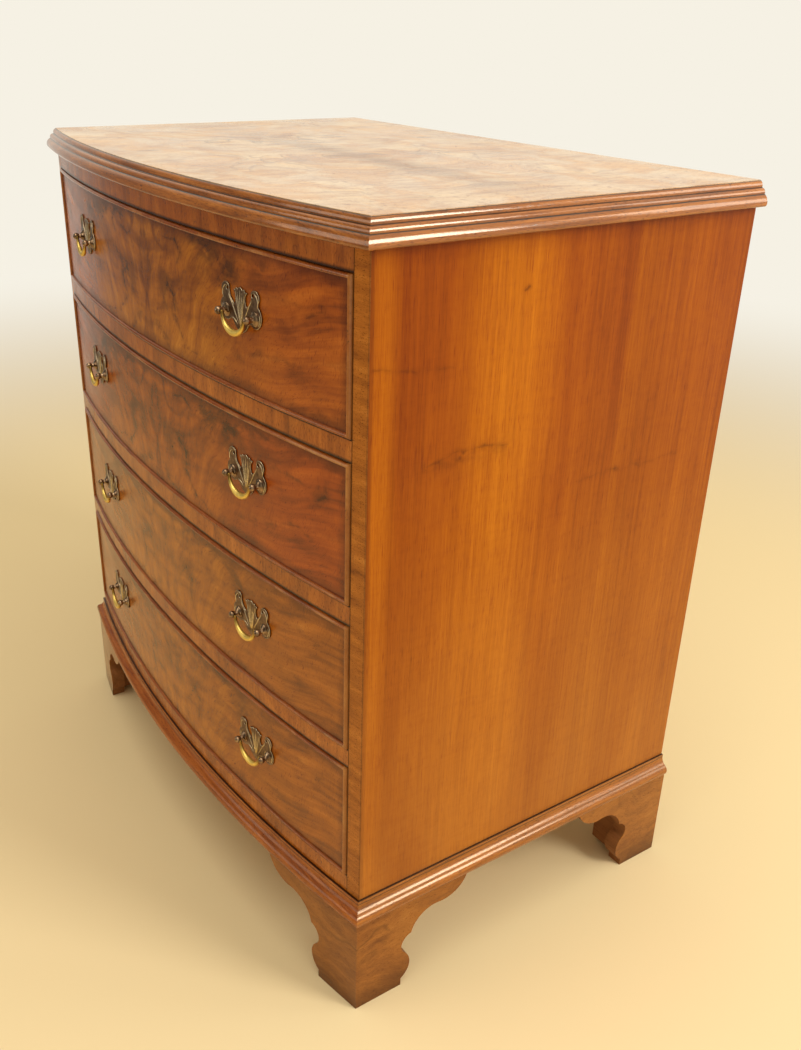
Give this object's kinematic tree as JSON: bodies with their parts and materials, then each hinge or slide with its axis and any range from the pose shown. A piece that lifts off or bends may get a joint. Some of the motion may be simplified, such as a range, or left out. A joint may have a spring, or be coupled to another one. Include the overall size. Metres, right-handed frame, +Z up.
{
  "type": "bow front chest of drawers",
  "caption": "Bow fronted chest with stacked cock-beaded drawers, moulded top and base, scrolled bracket feet and pierced plate handles with swinging bails.",
  "frame": {"origin": "on the floor, under the centre of the whole chest's outline with its mouldings", "axes": "+X to the right as seen from the front, +Y towards the back, +Z up"},
  "size_m": [0.7234, 0.4796, 0.8],
  "materials": {
    "figured_top": "high gloss polish over figured veneer",
    "figured_front": "high gloss polish over burr veneer",
    "straight_walnut": "polished straight grained veneer",
    "crossbanded_rail": "polished cross grained veneer",
    "walnut_moulding": "polished solid moulding",
    "cock_bead": "polished solid bead",
    "figured_foot": "polished figured veneer",
    "drawer_lining": "plain planed",
    "carcass_softwood": "plain sawn",
    "plain_panel": "plain panel",
    "plate_brass": "dull antiqued",
    "bright_brass": "polished by use"
  },
  "bodies": {
    "carcass": {"top_panel": "figured_top", "side_left": "straight_walnut", "side_right": "straight_walnut", "frieze_rail": "crossbanded_rail", "divider_rail_1": "crossbanded_rail", "divider_rail_2": "crossbanded_rail", "divider_rail_3": "crossbanded_rail", "bottom_rail": "crossbanded_rail", "top_moulding_front": "walnut_moulding", "top_moulding_left": "walnut_moulding", "top_moulding_right": "walnut_moulding", "base_moulding_front": "walnut_moulding", "base_moulding_left": "walnut_moulding", "base_moulding_right": "walnut_moulding", "foot_front_left": "figured_foot", "foot_front_right": "figured_foot", "foot_rear_left": "figured_foot", "foot_rear_right": "figured_foot", "rear_rails": "carcass_softwood", "drawer_runners": "carcass_softwood", "top_drawer_kickers": "carcass_softwood", "drawer_stops": "carcass_softwood", "back_panel": "plain_panel", "bottom_panel": "plain_panel"},
    "drawer_1": {"drawer_1_front": "figured_front", "drawer_1_cock_bead": "cock_bead", "drawer_1_sides": "drawer_lining", "drawer_1_back": "drawer_lining", "drawer_1_bottom": "drawer_lining", "drawer_1_handle_plates": "plate_brass", "drawer_1_handle_posts": "bright_brass"},
    "bail_1_left": {"drawer_1_bail_left": "bright_brass"},
    "bail_1_right": {"drawer_1_bail_right": "bright_brass"},
    "drawer_2": {"drawer_2_front": "figured_front", "drawer_2_cock_bead": "cock_bead", "drawer_2_sides": "drawer_lining", "drawer_2_back": "drawer_lining", "drawer_2_bottom": "drawer_lining", "drawer_2_handle_plates": "plate_brass", "drawer_2_handle_posts": "bright_brass"},
    "bail_2_left": {"drawer_2_bail_left": "bright_brass"},
    "bail_2_right": {"drawer_2_bail_right": "bright_brass"},
    "drawer_3": {"drawer_3_front": "figured_front", "drawer_3_cock_bead": "cock_bead", "drawer_3_sides": "drawer_lining", "drawer_3_back": "drawer_lining", "drawer_3_bottom": "drawer_lining", "drawer_3_handle_plates": "plate_brass", "drawer_3_handle_posts": "bright_brass"},
    "bail_3_left": {"drawer_3_bail_left": "bright_brass"},
    "bail_3_right": {"drawer_3_bail_right": "bright_brass"},
    "drawer_4": {"drawer_4_front": "figured_front", "drawer_4_cock_bead": "cock_bead", "drawer_4_sides": "drawer_lining", "drawer_4_back": "drawer_lining", "drawer_4_bottom": "drawer_lining", "drawer_4_handle_plates": "plate_brass", "drawer_4_handle_posts": "bright_brass"},
    "bail_4_left": {"drawer_4_bail_left": "bright_brass"},
    "bail_4_right": {"drawer_4_bail_right": "bright_brass"}
  },
  "joints": [
    {"name": "drawer_1_slide", "type": "slide", "parent": "carcass", "child": "drawer_1", "axis": [0, -1, 0], "range_m": [0, 0.32]},
    {"name": "drawer_1_bail_left_swing", "type": "hinge", "parent": "drawer_1", "child": "bail_1_left", "pos_m": [-0.19055, -0.22712, 0.6956], "axis": [-0.9939, 0.1102, 0], "range_deg": [-15, 165]},
    {"name": "drawer_1_bail_right_swing", "type": "hinge", "parent": "drawer_1", "child": "bail_1_right", "pos_m": [0.19055, -0.22712, 0.6956], "axis": [-0.9939, -0.1102, 0], "range_deg": [-15, 165]},
    {"name": "drawer_2_slide", "type": "slide", "parent": "carcass", "child": "drawer_2", "axis": [0, -1, 0], "range_m": [0, 0.32]},
    {"name": "drawer_2_bail_left_swing", "type": "hinge", "parent": "drawer_2", "child": "bail_2_left", "pos_m": [-0.19055, -0.22712, 0.5416], "axis": [-0.9939, 0.1102, 0], "range_deg": [-15, 165]},
    {"name": "drawer_2_bail_right_swing", "type": "hinge", "parent": "drawer_2", "child": "bail_2_right", "pos_m": [0.19055, -0.22712, 0.5416], "axis": [-0.9939, -0.1102, 0], "range_deg": [-15, 165]},
    {"name": "drawer_3_slide", "type": "slide", "parent": "carcass", "child": "drawer_3", "axis": [0, -1, 0], "range_m": [0, 0.32]},
    {"name": "drawer_3_bail_left_swing", "type": "hinge", "parent": "drawer_3", "child": "bail_3_left", "pos_m": [-0.19055, -0.22712, 0.3876], "axis": [-0.9939, 0.1102, 0], "range_deg": [-15, 165]},
    {"name": "drawer_3_bail_right_swing", "type": "hinge", "parent": "drawer_3", "child": "bail_3_right", "pos_m": [0.19055, -0.22712, 0.3876], "axis": [-0.9939, -0.1102, 0], "range_deg": [-15, 165]},
    {"name": "drawer_4_slide", "type": "slide", "parent": "carcass", "child": "drawer_4", "axis": [0, -1, 0], "range_m": [0, 0.32]},
    {"name": "drawer_4_bail_left_swing", "type": "hinge", "parent": "drawer_4", "child": "bail_4_left", "pos_m": [-0.19055, -0.22712, 0.2336], "axis": [-0.9939, 0.1102, 0], "range_deg": [-15, 165]},
    {"name": "drawer_4_bail_right_swing", "type": "hinge", "parent": "drawer_4", "child": "bail_4_right", "pos_m": [0.19055, -0.22712, 0.2336], "axis": [-0.9939, -0.1102, 0], "range_deg": [-15, 165]}
  ]
}
